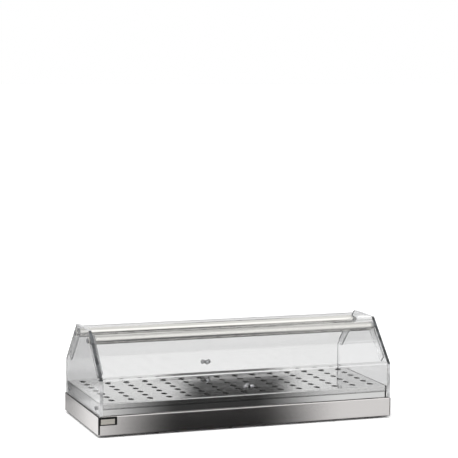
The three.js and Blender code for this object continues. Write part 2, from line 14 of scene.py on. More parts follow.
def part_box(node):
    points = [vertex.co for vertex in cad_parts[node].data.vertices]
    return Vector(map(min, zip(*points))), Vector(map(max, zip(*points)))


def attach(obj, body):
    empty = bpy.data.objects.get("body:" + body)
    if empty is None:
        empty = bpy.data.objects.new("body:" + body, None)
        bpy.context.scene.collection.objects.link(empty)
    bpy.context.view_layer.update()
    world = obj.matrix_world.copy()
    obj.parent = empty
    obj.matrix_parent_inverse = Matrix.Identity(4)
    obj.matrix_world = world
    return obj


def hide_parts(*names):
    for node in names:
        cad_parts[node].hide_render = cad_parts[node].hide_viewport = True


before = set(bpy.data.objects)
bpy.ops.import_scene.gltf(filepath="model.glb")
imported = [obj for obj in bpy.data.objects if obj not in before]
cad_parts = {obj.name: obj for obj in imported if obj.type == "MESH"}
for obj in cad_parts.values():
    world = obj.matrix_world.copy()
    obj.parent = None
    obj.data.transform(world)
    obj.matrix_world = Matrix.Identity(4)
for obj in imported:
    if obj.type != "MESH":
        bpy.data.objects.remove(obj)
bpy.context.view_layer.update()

METRES = 0.001
FULL_TURN = 2 * np.pi
WELD_DIGITS = 7
SHARP_ANGLE = 34.0

# Sizes of the case, in millimetres
BASE_WIDTH, BASE_DEPTH = 850.0, 350.0
FOOT_HEIGHT, DECK_Z = 5.0, 57.0
SHEET_WALL, TRAY_WALL, FOLD_RADIUS, CORNER_RADIUS = 1.2, 1.0, 2.5, 4.2
FACE_Y = BASE_DEPTH / 2
PANEL_INNER_X, PANEL_OUTER_X = 413.4, 421.4
PANEL_TOP_Z, PANEL_BEND_Z, PANEL_TOP_HALF = 270.0, 152.0, 61.0
PANEL_BEND_RADIUS, PANEL_CORNER_RADIUS, PANEL_EDGE_RADIUS = 10.0, 7.0, 0.6
LEAN = np.arctan2(FACE_Y - PANEL_TOP_HALF, PANEL_TOP_Z - PANEL_BEND_Z)
TRAY_TOP_Z, TRAY_HALF_DEPTH, TRAY_HALF_LENGTH, SKIRT_Z = 91.0, 168.5, 412.6, 58.0
# widths of painted shade in the tray: the shadow line at its right end, the ring round each hole, and that ring's
# stretch to the front and rear
TRAY_GAP_SHADOW, HOLE_SHADE_WIDTH, HOLE_SHADE_STRETCH = 4.5, 1.5, 1.4
HOLE_RADIUS, HOLE_PITCH_X, HOLE_PITCH_Y, HOLE_COLUMNS, HOLE_ROWS = 6.8, 54.0, 44.0, 15, 7
PIVOT_Y, PIVOT_Z = 64.976, 243.0
TUBE_RADIUS, TUBE_WALL, TUBE_END_X = 12.5, 1.5, 404.8
JOURNAL_RADIUS, EYE_RADIUS, PIVOT_BORE, WASHER_THICKNESS = 6.0, 6.3, 3.3, 1.0
FLAP_THICKNESS, FLAP_HALF_WIDTH, FLAP_FOOT_Z, FLAP_TOP_SETBACK = 3.0, 412.4, 75.0, 10.0
PULL_Z, FRONT_PULL_X = 117.0, -8.0
PULL_LENGTH, PULL_RADIUS, PULL_WAIST_RADIUS, PULL_STANDOFF = 31.0, 6.5, 4.2, 20.0
PANEL_SCREW_Y, PANEL_SCREW_Z, PANEL_SCREW_HOLE = 136.0, 73.0, 2.8
CLEARANCE = 0.3
SIDES = {"left": -1, "right": 1}


# ---------------------------------------------------------------- drawings


def rounded_outline(corners, radii, steps=6, support=0.3):
    """A closed outline through corner points, each one rounded by an arc of its radius.

    The arc touches both edges at radius times the tangent of half the turn, and its points are
    the centre plus the radius along an angle that turns evenly. A corner of radius 0 stays one
    point; the others get a point on each edge just outside the arc, which keeps the flats flat.
    """
    corners, radii = np.asarray(corners, float), np.asarray(radii, float)
    before = corners - np.roll(corners, 1, 0)
    before /= np.linalg.norm(before, axis=1)[:, None]
    after = np.roll(before, -1, 0)
    cross = before[:, 0] * after[:, 1] - before[:, 1] * after[:, 0]
    turn = np.arctan2(cross, (before * after).sum(1))
    inward = np.sign(turn)[:, None] * np.stack([-before[:, 1], before[:, 0]], 1)
    reach = radii * np.tan(np.abs(turn) / 2)
    centre = corners - before * reach[:, None] + inward * radii[:, None]
    angle = np.arctan2(-inward[:, 1], -inward[:, 0])[:, None] + turn[:, None] * np.linspace(0, 1, steps + 1)
    arcs = centre[:, None] + radii[:, None, None] * np.stack([np.cos(angle), np.sin(angle)], -1)
    apart = (support * (radii > 0))[:, None]
    first, last = arcs[:, 0] - before * apart, arcs[:, -1] + after * apart
    points = np.concatenate([first[:, None], arcs, last[:, None]], 1).reshape(-1, 2)
    step = np.linalg.norm(points - np.roll(points, 1, 0), axis=1)
    return points[step > 1e-6]


def circle(radius, centre=(0.0, 0.0), steps=32, clockwise=False):
    """A closed ring of points: the centre plus the radius along evenly turning angles."""
    angle = np.arange(steps) / steps * FULL_TURN * (-1 if clockwise else 1)
    return np.asarray(centre) + radius * np.stack([np.cos(angle), np.sin(angle)], 1)


def square_cell(steps):
    """The border of a square from -1 to 1, and a unit circle of as many points that starts at the same corner."""
    side, edge = np.arange(steps) / steps * 2 - 1, np.ones(steps)
    pairs = (side, -edge), (edge, side), (-side, edge), (-edge, -side)
    border = np.concatenate([np.stack(pair, 1) for pair in pairs])
    ring = circle(1.0, steps=4 * steps) @ np.array([[-1, -1], [1, -1]]) / np.sqrt(2)
    return border, ring


def inset(loop, distance):
    """The loop moved to its left by a distance, each point along the bisector of its two edges.

    The move is the sum of the two edge normals over one plus their product, times the distance.
    """
    ahead = np.roll(loop, -1, 0) - loop
    ahead /= np.linalg.norm(ahead, axis=1)[:, None]
    normal = np.stack([-ahead[:, 1], ahead[:, 0]], 1)
    earlier = np.roll(normal, 1, 0)
    return loop + distance * (normal + earlier) / (1 + (normal * earlier).sum(1))[:, None]


def points_of(*coordinates):
    """Points from their coordinates, each one spread over the shape of the others."""
    return np.stack(np.broadcast_arrays(*coordinates), -1)


def carried(loop, levels):
    """Rows of points: the loop inset by each row's inset, at the row's height."""
    return np.stack([np.column_stack([inset(loop, d), np.full(len(loop), h)]) for d, h in levels])


def edge_levels(low, high, radius, steps=3, support=0.4):
    """Rows of (inset, height) that carry an outline from one face of a plate to the other.

    Both edges are quarter rounds: the inset is the radius times one minus the sine, the height
    is the radius times one minus the cosine, and a further row on each side keeps the flats flat.
    """
    angle = np.linspace(0, np.pi / 2, steps + 1)
    rise = np.stack([radius * (1 - np.sin(angle)), radius * (1 - np.cos(angle))], 1)
    rise = np.vstack([[radius + support, 0], rise, [0, radius + support]])
    return np.vstack([rise + [0, low], (rise * [1, -1] + [0, high])[::-1]])


# ---------------------------------------------------------------- surfaces


def grid(points, along, across, wrap=False, keep=None, material=0):
    """One patch: rows by columns of points, joined in quads, with a UV pair for each point."""
    rows, columns = points.shape[:2]
    index = np.arange(rows * columns).reshape(rows, columns)
    uv = points_of(along, across).reshape(-1, 2)
    if wrap:
        index = np.concatenate([index, index[:, :1]], 1)
    quads = np.stack([index[:-1, :-1], index[:-1, 1:], index[1:, 1:], index[1:, :-1]], -1).reshape(-1, 4)
    if keep is not None:
        quads = quads[keep(points.reshape(-1, 3)[quads].mean(1))]
    return points.reshape(-1, 3), quads, uv, material


def shared_grid(points, along, across, shares, wrap=False):
    """A patch in parts: each share is a test of the quads' middles and the number of a material."""
    return [grid(points, along, across, wrap, keep, material) for keep, material in shares]


def cap(loops, place, height, material=0):
    """A flat patch that fills an outline and leaves its holes open, in triangles."""
    flat = [[Vector((a, b, 0)) for a, b in loop] for loop in loops]
    triangles = np.array(geometry.tessellate_polygon(flat))
    drawn = np.vstack(loops)
    return place(drawn[:, 0], drawn[:, 1], np.full(len(drawn), float(height))), triangles, drawn, material


def length_along(points):
    """How far each point of a line lies from its first one, measured along the line."""
    return np.concatenate([[0], np.cumsum(np.linalg.norm(np.diff(points, axis=0), axis=1))])


def plate(loops, levels, place, wall_material=0):
    """A plate: each loop is carried through rows of (inset, height), and flat caps close it."""
    patches = []
    for loop in loops:
        points = place(*np.moveaxis(carried(loop, levels), -1, 0))
        patches.append(grid(points, length_along(loop), levels[:, 1:], wrap=True, material=wall_material))
    for d, h in (levels[0], levels[-1]):
        patches.append(cap([inset(loop, d) for loop in loops], place, h))
    return patches


def upright(a, b, h):
    """A drawing that stands across the case: drawn x to the rear, drawn y up, height along X."""
    return points_of(h, a, b)


def facing(a, b, h):
    """A drawing that faces the front: drawn x to the right, drawn y up, height towards the front."""
    return points_of(a, -h, b)


def turned(profile, place, steps=48):
    """A turned piece: each row is a circle of the profile's radius at the profile's height."""
    profile = np.asarray(profile, float)
    angle = np.arange(steps) / steps * FULL_TURN
    radius, height = profile[:, :1], profile[:, 1:2]
    points = place(radius * np.cos(angle), radius * np.sin(angle), height + 0 * angle)
    return grid(points, angle * profile[:, 0].max(), length_along(profile)[:, None], wrap=True)


def outward(side, y, z):
    """Where a turned piece goes when it points out of the case through a side panel."""
    return lambda a, b, h: points_of(side * h, y + side * a, z + b)


def rearward(x, z):
    """Where a turned piece goes when it points to the rear."""
    return lambda a, b, h: points_of(x + a, h, z + b)


def softened(profile, radius=0.25, steps=3):
    """A turned piece's profile with its sharp corners broken by a small round."""
    profile = np.asarray(profile, float)
    closed = np.allclose(profile[0], profile[-1])
    corners = profile[:-1] if closed else profile
    radii = np.full(len(corners), radius)
    if not closed:
        radii[[0, -1]] = 0
    loop = rounded_outline(corners, radii, steps, support=radius / 2)
    return np.vstack([loop, loop[:1]]) if closed else loop


# ---------------------------------------------------------------- pieces


def in_scene(name, data):
    """A new object, linked to the scene."""
    made = bpy.data.objects.new(name, data)
    bpy.context.scene.collection.objects.link(made)
    return made


def make_piece(name, patches, materials, body, nodes):
    """Joins patches into one mesh, welds the points they share, and hands it to the frame.

    A patch gives the number of its material. Quads that the weld pinches become triangles.
    """
    start = np.cumsum([0] + [len(patch[0]) for patch in patches])
    points = np.concatenate([patch[0] for patch in patches]) * METRES
    uv = np.concatenate([patch[2] for patch in patches]) * METRES
    _, first, welded = np.unique(np.round(points, WELD_DIGITS), axis=0, return_index=True, return_inverse=True)
    welded = welded.ravel()
    corners, indices = {3: [], 4: []}, {3: [], 4: []}
    for offset, patch in zip(start, patches):
        faces = patch[1] + offset
        joined = welded[faces]
        same = joined == np.roll(joined, -1, 1)
        whole = faces[same.sum(1) == 0]
        corners[faces.shape[1]].append(whole)
        indices[faces.shape[1]].append(np.full(len(whole), patch[3]))
        if faces.shape[1] == 4:
            pinched = same.sum(1) == 1
            thirds = faces[pinched][~same[pinched]].reshape(-1, 3)
            corners[3].append(thirds)
            indices[3].append(np.full(len(thirds), patch[3]))
    sets = [np.concatenate(corners[n]) for n in (4, 3) if corners[n]]
    mesh = bpy.data.meshes.new(name)
    mesh.from_pydata(points[first].tolist(), [], [face for part in sets for face in welded[part].tolist()])
    layer = mesh.uv_layers.new(name="grain")
    layer.data.foreach_set("uv", np.concatenate([uv[part].ravel() for part in sets]).astype(np.float32))
    which = np.concatenate([np.concatenate(indices[n]) for n in (4, 3) if indices[n]])
    mesh.polygons.foreach_set("material_index", which.astype(np.int32))
    for material in materials if isinstance(materials, (list, tuple)) else [materials]:
        mesh.materials.append(material)
    shell = bmesh.new()
    shell.from_mesh(mesh)
    bmesh.ops.recalc_face_normals(shell, faces=shell.faces)
    shell.to_mesh(mesh)
    shell.free()
    mesh.polygons.foreach_set("use_smooth", np.ones(len(mesh.polygons), bool))
    mesh.set_sharp_from_angle(angle=np.radians(SHARP_ANGLE))
    piece = in_scene(name, mesh)
    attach(piece, body)
    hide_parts(*nodes)


def half_turned(patches):
    """The same patches turned half round about the upright axis."""
    return [(points * [-1, -1, 1], faces, uv, material) for points, faces, uv, material in patches]


# ---------------------------------------------------------------- materials


def add(tree, kind, inputs=(), **settings):
    """A node with its settings, its inputs set from values or linked from sockets."""
    node = tree.nodes.new(kind)
    for key, value in settings.items():
        setattr(node, key, value)
    for key, value in dict(inputs).items():
        if isinstance(value, bpy.types.NodeSocket):
            tree.links.new(value, node.inputs[key])
        else:
            node.inputs[key].default_value = value
    return node


def maths(tree, operation, *values):
    return add(tree, "ShaderNodeMath", enumerate(values), operation=operation).outputs[0]


def finish(name, values):
    """A material with one Principled shader, its plain values set on the shader's own sockets."""
    material = bpy.data.materials.new(name)
    material.use_nodes = True
    tree = material.node_tree
    shader = tree.nodes["Principled BSDF"]
    for key, value in values.items():
        shader.inputs[key].default_value = value
    return material, tree, shader


def noise(tree, vector, scale, detail=3.0, roughness=0.55):
    values = {"Vector": vector, "Scale": scale, "Detail": detail, "Roughness": roughness}
    return add(tree, "ShaderNodeTexNoise", values).outputs["Fac"]


def stretched(tree, vector, scale):
    return add(tree, "ShaderNodeMapping", {"Vector": vector, "Scale": scale}).outputs[0]


def between(tree, factor, low, high):
    """A grey value that runs from low to high as the factor goes from 0.3 to 0.7."""
    values = {"Value": factor, "From Min": 0.3, "From Max": 0.7, "To Min": low, "To Max": high}
    return add(tree, "ShaderNodeMapRange", values).outputs[0]


def two_tone(tree, factor, low, high):
    mix = add(tree, "ShaderNodeMix", {"Factor": between(tree, factor, 0, 1)}, data_type="RGBA")
    mix.inputs[6].default_value = (*low, 1)
    mix.inputs[7].default_value = (*high, 1)
    return mix.outputs[2]


def brushed_metal(name, low, high, roughness, spread, anisotropic, lines, depth, follow=True):
    """Metal with fine lines along the sheet, wider streaks, and faint cloudy wear.

    Where the piece has its own UV map the lines follow its first direction, otherwise X.
    """
    material, tree, shader = finish(name, {"Metallic": 1.0, "Anisotropic": anisotropic,
                                           "Anisotropic Rotation": 0.25})
    place = add(tree, "ShaderNodeTexCoord").outputs["Object"]
    if follow:
        sheet = add(tree, "ShaderNodeUVMap", uv_map="grain").outputs[0]
        tangent = add(tree, "ShaderNodeTangent", direction_type="UV_MAP", uv_map="grain")
        tree.links.new(tangent.outputs[0], shader.inputs["Tangent"])
    else:
        sheet = place
    fine = noise(tree, stretched(tree, sheet, (6, lines, lines)), 1.0)
    streak = noise(tree, stretched(tree, sheet, (1.5, lines / 8, lines / 8)), 1.0, 2.0)
    cloud = noise(tree, place, 9.0, 4.0)
    grain = maths(tree, "MULTIPLY_ADD", streak, 0.5, maths(tree, "MULTIPLY", fine, 0.5))
    shade = maths(tree, "MULTIPLY_ADD", cloud, 0.5, maths(tree, "MULTIPLY", grain, 0.5))
    tree.links.new(between(tree, shade, roughness - spread, roughness + spread), shader.inputs["Roughness"])
    tree.links.new(two_tone(tree, grain, low, high), shader.inputs["Base Color"])
    bump = add(tree, "ShaderNodeBump", {"Strength": 0.03, "Distance": depth, "Height": grain})
    tree.links.new(bump.outputs[0], shader.inputs["Normal"])
    return material


def clear_plastic(name, tint, roughness):
    """Clear cast sheet with faint wiping marks. Lamps shine through it without a dark shadow."""
    material, tree, shader = finish(name, {"Base Color": (*tint, 1), "Transmission Weight": 1.0, "IOR": 1.49,
                                           "Specular IOR Level": 0.08})
    place = add(tree, "ShaderNodeTexCoord").outputs["Object"]
    wiped = noise(tree, stretched(tree, place, (6, 14, 22)), 1.0, 4.0, 0.6)
    tree.links.new(between(tree, wiped, 0.0, roughness), shader.inputs["Roughness"])
    path = add(tree, "ShaderNodeLightPath")
    passing = maths(tree, "MAXIMUM", path.outputs["Is Shadow Ray"], path.outputs["Is Diffuse Ray"])
    open_way = add(tree, "ShaderNodeBsdfTransparent", {"Color": (*tint, 1)})
    mix = add(tree, "ShaderNodeMixShader", {0: passing, 1: shader.outputs[0], 2: open_way.outputs[0]})
    tree.links.new(mix.outputs[0], tree.nodes["Material Output"].inputs[0])
    return material


def sawn_edge(name, dark, light, share, roughness):
    """The cut edge of clear sheet: part of the light passes, part is caught by fine saw and scraper marks.

    The tone wanders between dark and light along the edge.
    """
    material, tree, shader = finish(name, {"Transmission Weight": share, "IOR": 1.49})
    place = add(tree, "ShaderNodeTexCoord").outputs["Object"]
    marks = noise(tree, stretched(tree, place, (900, 160, 160)), 1.0, 3.0)
    tree.links.new(between(tree, marks, roughness - 0.1, roughness + 0.1), shader.inputs["Roughness"])
    tree.links.new(two_tone(tree, noise(tree, place, 45.0, 1.0), dark, light), shader.inputs["Base Color"])
    bump = add(tree, "ShaderNodeBump", {"Strength": 0.3, "Distance": 0.00004, "Height": marks})
    tree.links.new(bump.outputs[0], shader.inputs["Normal"])
    return material


def moulded(name, low, high, roughness, spread, scale, depth, values=()):
    """Rubber, nylon or plastic with a fine moulded grain and a slow drift of tone."""
    material, tree, shader = finish(name, dict(values))
    place = add(tree, "ShaderNodeTexCoord").outputs["Object"]
    fine = noise(tree, place, scale, 5.0, 0.6)
    slow = noise(tree, place, scale / 30, 3.0)
    tree.links.new(between(tree, slow, roughness - spread, roughness + spread), shader.inputs["Roughness"])
    tree.links.new(two_tone(tree, slow, low, high), shader.inputs["Base Color"])
    bump = add(tree, "ShaderNodeBump", {"Strength": 0.4, "Distance": depth, "Height": fine})
    tree.links.new(bump.outputs[0], shader.inputs["Normal"])
    return material


base_steel = brushed_metal("base_steel", (0.63, 0.61, 0.60), (0.66, 0.64, 0.63), 0.16, 0.02, 0.7, 1200, 0.00001)
# painted shade: near-black steel that stands for the shadow in the gaps at the base's end folds and upright corners,
# and at the tray's right end
shadow_gap_steel = brushed_metal("shadow_gap_steel", (0.03, 0.03, 0.03), (0.06, 0.06, 0.06), 0.30, 0.04, 0.0, 1200, 0.00001)
tray_steel = brushed_metal("tray_steel", (0.63, 0.63, 0.625), (0.67, 0.67, 0.665), 0.075, 0.015, 0.5, 1200, 0.00001)
folded_steel = brushed_metal("folded_steel", (0.58, 0.58, 0.58), (0.66, 0.66, 0.66), 0.28, 0.04, 0.5, 1500, 0.00002)
hidden_steel = brushed_metal("hidden_steel", (0.55, 0.55, 0.55), (0.64, 0.64, 0.64), 0.32, 0.05, 0.0, 900, 0.00002,
                             follow=False)
tube_steel = brushed_metal("tube_steel", (0.70, 0.69, 0.66), (0.76, 0.75, 0.72), 0.13, 0.02, 0.0, 2500, 0.00001)
pull_chrome = brushed_metal("pull_chrome", (0.30, 0.30, 0.31), (0.36, 0.36, 0.37), 0.12, 0.02, 0.0, 4000, 0.000004)
dark_chrome = brushed_metal("dark_chrome", (0.20, 0.20, 0.21), (0.28, 0.28, 0.29), 0.12, 0.03, 0.0, 4000, 0.000004)
zinc_plate = brushed_metal("zinc_plate", (0.50, 0.52, 0.54), (0.62, 0.63, 0.66), 0.36, 0.08, 0.0, 700, 0.00003,
                           follow=False)
silver_insert = brushed_metal("silver_insert", (0.46, 0.44, 0.40), (0.60, 0.57, 0.52), 0.3, 0.04, 0.6, 2600, 0.00002)
clear_sheet = clear_plastic("clear_sheet", (0.91, 0.911, 0.911), 0.02)
clear_block = clear_plastic("clear_block", (0.90, 0.902, 0.906), 0.02)
# painted shade: the sawn edge made near-black for the side panels' slopes, standing for the dark they show, while
# upright_edge stays light
shaded_slope_edge = sawn_edge("shaded_slope_edge", (0.01, 0.011, 0.012), (0.16, 0.17, 0.18), 0.25, 0.3)
polished_edge = sawn_edge("polished_edge", (0.30, 0.305, 0.31), (0.90, 0.91, 0.92), 0.75, 0.2)
upright_edge = sawn_edge("upright_edge", (0.45, 0.455, 0.46), (0.97, 0.975, 0.98), 0.25, 0.2)
frosted_edge = sawn_edge("frosted_edge", (0.80, 0.80, 0.80), (0.90, 0.90, 0.90), 0.4, 0.4)
# black for the name plate's frame; also painted shade, as the black band on the flaps' feet and the ring at the
# pull's waist
black_frame_and_shade = moulded("black_frame_and_shade", (0.006, 0.006, 0.006), (0.012, 0.012, 0.012), 0.5, 0.06, 3000, 0.00002,
                      {"Specular IOR Level": 0.15})
# painted shade: near-black for the rims and walls of the tray's holes, standing for the shade inside them
hole_shade = moulded("hole_shade", (0.008, 0.008, 0.008), (0.016, 0.015, 0.014), 0.7, 0.08, 3000, 0.00002,
                        {"Specular IOR Level": 0.1})
black_rubber = moulded("black_rubber", (0.012, 0.012, 0.012), (0.024, 0.023, 0.022), 0.75, 0.08, 2500, 0.00006)
white_nylon = moulded("white_nylon", (0.72, 0.71, 0.66), (0.8, 0.79, 0.75), 0.45, 0.06, 2500, 0.00003,
                      {"Subsurface Weight": 0.1, "Subsurface Radius": (0.001, 0.001, 0.0008)})


# ---------------------------------------------------------------- base and feet


def base_box():
    """The folded base: a rounded plan loop carried up the inside, round the rim and up the outside.

    Each row is the plan loop inset by the row's first number at the row's height. The folds at
    the top are quarter rounds, the lower edge is rolled in along a quarter of an ellipse, and
    flat caps close the deck above and below. The folds over the two ends and the upright
    corners down to the rolled edge carry painted shade: near-black steel for the shadow in the gaps there.
    """
    roll_depth, roll_height, support = 1.1, 3.0, 0.3
    half_x, half_y = BASE_WIDTH / 2, BASE_DEPTH / 2
    corners = [(-half_x, -half_y), (half_x, -half_y), (half_x, half_y), (-half_x, half_y)]
    plan = rounded_outline(corners, [CORNER_RADIUS] * 4, 8)
    angle = np.linspace(0, np.pi / 2, 7)
    folded = np.stack([1 - np.cos(angle), np.sin(angle)], 1)
    folded = np.vstack([[0, -0.2], folded, [1.15, 1]])
    outer = folded * FOLD_RADIUS + [0, DECK_Z - FOLD_RADIUS]
    inner = folded * (FOLD_RADIUS - SHEET_WALL) + [SHEET_WALL, DECK_Z - FOLD_RADIUS]
    rolled = np.stack([roll_depth * (1 - np.sin(angle)), roll_height * (1 - np.cos(angle))], 1) + [0, FOOT_HEIGHT]
    rim = np.vstack([[SHEET_WALL, FOOT_HEIGHT + 0.1], rolled, [0, FOOT_HEIGHT + roll_height + support]])
    rows = np.vstack([inner[::-1], rim, outer])
    points = carried(plan, rows)

    # faces that get painted shade: the folds over the ends and the upright corners
    def shadow_gap(c):
        in_x, in_y = half_x - np.abs(c[:, 0]), half_y - np.abs(c[:, 1])
        end_fold = (c[:, 2] > DECK_Z - FOLD_RADIUS) & (in_x < FOLD_RADIUS)
        corner = (np.maximum(in_x, in_y) < CORNER_RADIUS) & (c[:, 2] > FOOT_HEIGHT + roll_height)
        return end_fold | (corner & (np.minimum(in_x, in_y) < SHEET_WALL - 0.1))

    patches = shared_grid(points, length_along(plan), rows[:, 1:], ((lambda c: ~shadow_gap(c), 0), (shadow_gap, 1)), wrap=True)
    for d, z in (rows[0], rows[-1]):
        patches.append(cap([inset(plan, d)], points_of, z))
    return patches


make_piece("folded_base", base_box(), [base_steel, shadow_gap_steel], "case", ["base_shell"])


def rubber_foot(x, y):
    """A tapered pad with a soft toe, and the barbed stem that snaps through the pan."""
    toe = [[0, 0], [5.4, 0], [6.1, 0.15], [6.5, 0.6], [7.9, 4.1], [8.0, 4.45], [7.8, 4.7], [3.2, 4.7]]
    barb = [[3.2, 6.5], [4.4, 6.5], [4.6, 6.7], [3.3, 9.3], [2.9, 9.5], [0, 9.5]]
    place = lambda a, b, h: points_of(x + a, y + b, h)
    return [turned(toe + barb, place, 40)]


for row in ("front", "rear"):
    for number in range(1, 7):
        node = f"foot_{row}_{number}"
        low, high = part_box(node)
        middle = (low + high) / 2 / METRES
        make_piece(f"rubber_{node}", rubber_foot(middle.x, middle.y), black_rubber, "case", [node])


# ---------------------------------------------------------------- tray


def tray():
    """The perforated tray: one cell for each hole, framed by the folded front and rear edges.

    A cell runs from its oblong border in to the hole's rim, down the hole and out again below;
    its border has the same points as its neighbours'. Painted shade, a near-black ring, lies round each hole
    and down its wall, longer to the front and rear. The folded edges are one section, a flat, a quarter round
    and a skirt with its inner face, carried along X. A painted shadow line at the right end stands for the gap there.
    """
    steps = 8
    bottom_z = TRAY_TOP_Z - TRAY_WALL
    border, ring = square_cell(steps)
    border = border * [HOLE_PITCH_X / 2, HOLE_PITCH_Y / 2]
    rims = [(HOLE_SHADE_WIDTH, 0), (1.2, 0), (0.55, 0.06), (0.25, 0.18), (0.07, 0.34), (0, 0.5), (0, TRAY_WALL - 0.3),
            (0, TRAY_WALL), (0.8, TRAY_WALL)]
    loops = [np.column_stack([border, np.full(len(border), TRAY_TOP_Z)])]
    loops += [np.column_stack([ring * (HOLE_RADIUS + wide), np.full(len(ring), TRAY_TOP_Z - deep)])
              for wide, deep in rims]
    loops[1][:, 1] *= HOLE_SHADE_STRETCH
    loops += [np.column_stack([border, np.full(len(border), bottom_z)])]
    cell = np.stack(loops)
    # material 1 is painted shade, from the outer ring down the hole's wall to its lower rim
    parts = ((cell[:2], 0), (cell[1:9], 1), (cell[8:], 0))
    patches = []
    for column in range(HOLE_COLUMNS):
        for row in range(HOLE_ROWS):
            middle = [(column - (HOLE_COLUMNS - 1) / 2) * HOLE_PITCH_X, (row - (HOLE_ROWS - 1) / 2) * HOLE_PITCH_Y, 0]
            for part, material in parts:
                moved = part + middle
                patches.append(grid(moved, moved[..., 0], moved[..., 1], wrap=True, material=material))
    reach_x, reach_y = HOLE_COLUMNS * HOLE_PITCH_X / 2, HOLE_ROWS * HOLE_PITCH_Y / 2
    lines_x = np.linspace(-reach_x, reach_x, HOLE_COLUMNS * steps + 1)
    lines_y = np.linspace(-reach_y, reach_y, HOLE_ROWS * steps + 1)

    inner_y = TRAY_HALF_DEPTH - TRAY_WALL
    section = rounded_outline(
        [(reach_y, TRAY_TOP_Z), (reach_y, bottom_z), (inner_y, bottom_z), (inner_y, SKIRT_Z),
         (TRAY_HALF_DEPTH, SKIRT_Z), (TRAY_HALF_DEPTH, TRAY_TOP_Z)],
        [0, 0, FOLD_RADIUS - TRAY_WALL, 0.2, 0.2, FOLD_RADIUS], 6)
    first = int(np.argmin(np.abs(section - [reach_y, bottom_z]).sum(1)))
    path = np.roll(section, -first, 0)
    # a painted shadow line at the right end, where the tray stands clear of the panel
    shadow_line_x = TRAY_HALF_LENGTH - TRAY_GAP_SHADOW
    all_x = np.concatenate([[-TRAY_HALF_LENGTH, -shadow_line_x], lines_x, [shadow_line_x, TRAY_HALF_LENGTH]])
    shadow = lambda c: c[:, 0] > shadow_line_x
    shares = ((lambda c: ~shadow(c), 0), (shadow, 2))
    for sign in (-1, 1):
        y, z = sign * path[:, :1], path[:, 1:]
        points = points_of(all_x[None], y, z)
        patches += shared_grid(points, all_x[None], length_along(path)[:, None], shares)
        for x in (-TRAY_HALF_LENGTH, TRAY_HALF_LENGTH):
            patches.append(cap([path], lambda a, b, h, s=sign: upright(s * a, b, h), x))
        turn = np.array([[reach_x, TRAY_TOP_Z], [shadow_line_x, TRAY_TOP_Z], [TRAY_HALF_LENGTH, TRAY_TOP_Z],
                         [TRAY_HALF_LENGTH, bottom_z], [shadow_line_x, bottom_z], [reach_x, bottom_z]])
        points = points_of(sign * turn[:, :1], lines_y[None], turn[:, 1:])
        patches += shared_grid(points, sign * turn[:, :1], lines_y[None], shares)
    return patches


make_piece("punched_tray", tray(), [tray_steel, hole_shade, shadow_gap_steel], "tray", ["perforated_tray"])


# ---------------------------------------------------------------- upstands, panels and their screws


def upstand(side):
    """A channel of folded sheet: its section, with rounded folds, is carried along the depth."""
    outer, wall = PANEL_INNER_X - CLEARANCE, SHEET_WALL
    bottom, top = DECK_Z + CLEARANCE, TRAY_TOP_Z - TRAY_WALL - CLEARANCE
    top_x, bottom_x = outer - 18, outer - 24
    corners = [(outer, bottom), (outer, top), (top_x, top), (top_x, top - wall), (outer - wall, top - wall),
               (outer - wall, bottom + wall), (bottom_x, bottom + wall), (bottom_x, bottom)]
    section = rounded_outline(corners, [1.8, 1.8, 0.2, 0.2, 0.6, 0.6, 0.2, 0.2], 5)
    half = TRAY_HALF_DEPTH - TRAY_WALL - 1.5
    levels = edge_levels(-half, half, 0.15, 2, support=0.04)
    return plate([section], levels, lambda a, b, h: points_of(side * a, h, b))


def side_panel(side):
    """A six-sided clear panel: its outline is carried through the thickness with softened edges.

    The edges of the two slopes carry painted shade, much darker than the others.
    """
    bottom = DECK_Z + CLEARANCE
    corners = [(-FACE_Y, bottom), (FACE_Y, bottom), (FACE_Y, PANEL_BEND_Z), (PANEL_TOP_HALF, PANEL_TOP_Z),
               (-PANEL_TOP_HALF, PANEL_TOP_Z), (-FACE_Y, PANEL_BEND_Z)]
    radii = [1.0, 1.0, PANEL_BEND_RADIUS, PANEL_CORNER_RADIUS, PANEL_CORNER_RADIUS, PANEL_BEND_RADIUS]
    loops = [rounded_outline(corners, radii, 12)]
    for sign in (-1, 1):
        loops.append(circle(PIVOT_BORE, (sign * PIVOT_Y, PIVOT_Z), clockwise=True))
        loops.append(circle(PANEL_SCREW_HOLE, (sign * PANEL_SCREW_Y, PANEL_SCREW_Z), clockwise=True))
    levels = edge_levels(PANEL_INNER_X, PANEL_OUTER_X, PANEL_EDGE_RADIUS, support=0.3)
    (points, quads, uv, _), *others = plate(loops, levels, lambda a, b, h: upright(a, b, side * h), wall_material=1)
    middle = points[quads].mean(1)
    # the slopes' edges, which get the painted shade
    slope = (middle[:, 2] > PANEL_BEND_Z) & (np.abs(middle[:, 1]) > PANEL_TOP_HALF)
    return [(points, quads[~slope], uv, 1), (points, quads[slope], uv, 2), *others]


def dome(radius, base, height, steps=10, low=0.0):
    """A quarter ellipse from its rim in to the radius given: radius times cosine, height times sine."""
    angle = np.linspace(0, np.arccos(low / radius), steps)
    return np.stack([radius * np.cos(angle), base + height * np.sin(angle)], 1)


def panel_screw(side, y):
    """A domed head on a plain shank that reaches through the nut inside."""
    tip_x, head_x, shank, radius, rise = 406.1, PANEL_OUTER_X + CLEARANCE, 2.5, 5.5, 0.5
    lower = [[0, tip_x], [shank - 0.3, tip_x], [shank, tip_x + 0.3], [shank, head_x], [radius - 0.4, head_x],
             [radius - 0.1, head_x + 0.15], [radius, head_x + rise]]
    head = dome(radius, head_x + rise, 3.0, 12)
    return [turned(np.vstack([lower, head[1:]]), outward(side, y, PANEL_SCREW_Z), 40)]


